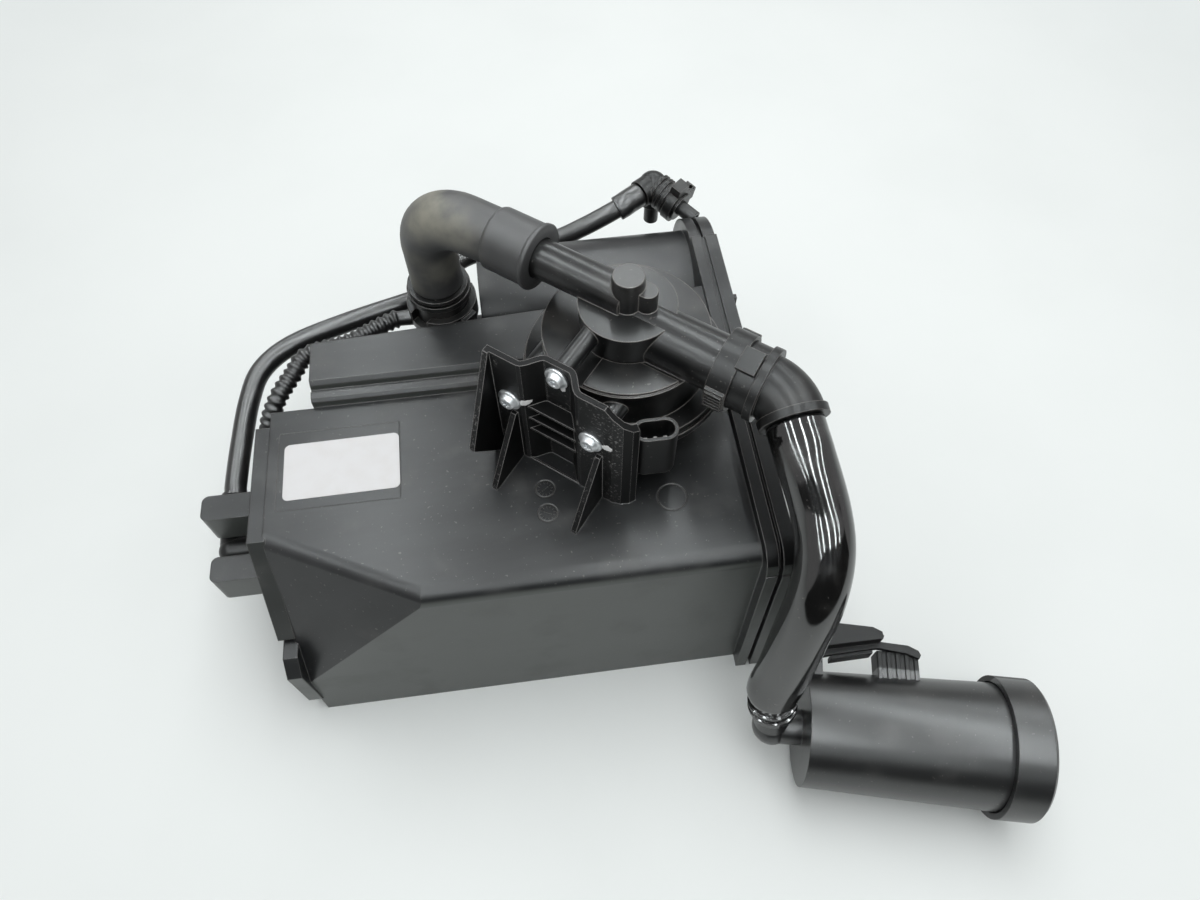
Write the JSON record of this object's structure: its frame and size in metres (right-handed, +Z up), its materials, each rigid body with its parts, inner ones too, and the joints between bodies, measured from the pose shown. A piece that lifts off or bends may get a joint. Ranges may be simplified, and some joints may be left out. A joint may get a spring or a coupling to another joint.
{
  "type": "charcoal canister",
  "caption": "Moulded vapour canister with a faceted corner, rear chamber, leak-test pump on a folded bracket, rubber elbow, vent pipe, round dust filter and wrapped purge line.",
  "frame": {"origin": "centre of the moulded box's base, on the base", "axes": "+X along the box to the welded end cap, +Y to the rear chamber, +Z up"},
  "size_m": [0.3597, 0.338, 0.189],
  "materials": {
    "housing": "satin moulded black polyamide",
    "carbon": "dull granulate",
    "fleece": "felt",
    "plate": "satin",
    "spring": "drawn wire",
    "pump": "gloss",
    "module": "satin",
    "hose": "dusty matt",
    "seal": "matt",
    "connector": "satin gloss",
    "line": "high gloss",
    "ripple": "satin",
    "filter": "satin",
    "paper": "pleated",
    "pins": "plated",
    "screws": "zinc plated",
    "label": "satin film"
  },
  "bodies": {
    "root": {"canister_body": "housing", "end_cap": "housing", "main_carbon_bed": "carbon", "main_inlet_fleece": "fleece", "main_outlet_fleece": "fleece", "main_spring_plate": "plate", "main_springs": "spring", "rear_carbon_bed": "carbon", "rear_inlet_fleece": "fleece", "rear_outlet_fleece": "fleece", "rear_spring_plate": "plate", "rear_spring": "spring", "pump_base": "pump", "pump_cover": "pump", "pump_module": "module", "pump_seal": "seal", "pump_connector": "connector", "connector_pins": "pins", "pump_screws": "screws", "rubber_elbow": "hose", "port_connector": "connector", "port_lock_ring": "connector", "port_o_ring": "seal", "vent_connector": "connector", "vent_lock_ring": "connector", "vent_o_ring": "seal", "vent_pipe": "line", "filter_housing": "filter", "filter_cap": "filter", "filter_element": "paper", "purge_line": "line", "purge_fitting": "connector", "purge_lock_clip": "connector", "purge_end_fitting": "connector", "corrugated_line": "ripple", "label": "label"}
  },
  "joints": []
}
